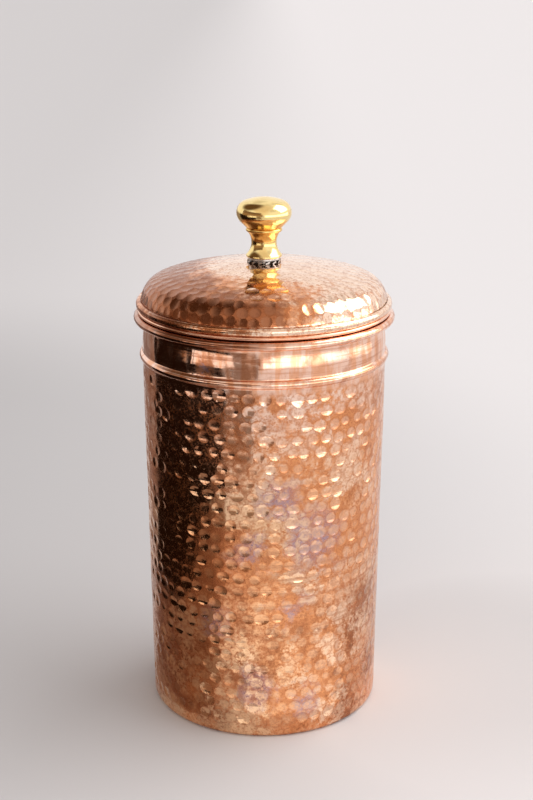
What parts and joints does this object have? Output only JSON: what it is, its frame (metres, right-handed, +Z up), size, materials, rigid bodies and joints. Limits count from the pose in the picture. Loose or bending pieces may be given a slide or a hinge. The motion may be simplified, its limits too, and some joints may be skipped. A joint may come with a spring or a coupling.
{
  "type": "lidded canister",
  "caption": "Tall round hammered copper canister with a swaged bead, wired rim, and a lift-off domed lid carrying a turned brass knob.",
  "frame": {"origin": "centre of the flat ring under the foot that the canister stands on", "axes": "+Z up along the canister's axis; the piece is round, so +X and +Y are any two directions across it"},
  "size_m": [0.1176, 0.1176, 0.2384],
  "materials": {
    "hammered_copper": "hammered copper with warm brown and violet tarnish, half-polished",
    "plain_copper": "smooth copper sheet, brushed along its length",
    "polished_brass": "turned and polished brass",
    "bright_steel": "plated steel washers and screw, lightly dulled",
    "edge_wire": "tinned steel wire"
  },
  "bodies": {
    "canister": {"body_wall": "hammered_copper", "base_pan": "plain_copper", "rim_wire": "edge_wire"},
    "lid": {"lid_dome": "hammered_copper", "lid_rim_wire": "edge_wire", "lid_collar": "plain_copper", "knob": "polished_brass", "plain_washer": "bright_steel", "tooth_washer": "bright_steel", "inner_washer": "bright_steel", "spring_washer": "bright_steel", "knob_screw": "bright_steel"}
  },
  "joints": [
    {"name": "lid_lift", "type": "slide", "parent": "canister", "child": "lid", "axis": [0, 0, 1], "range_m": [0, 0.1]}
  ]
}
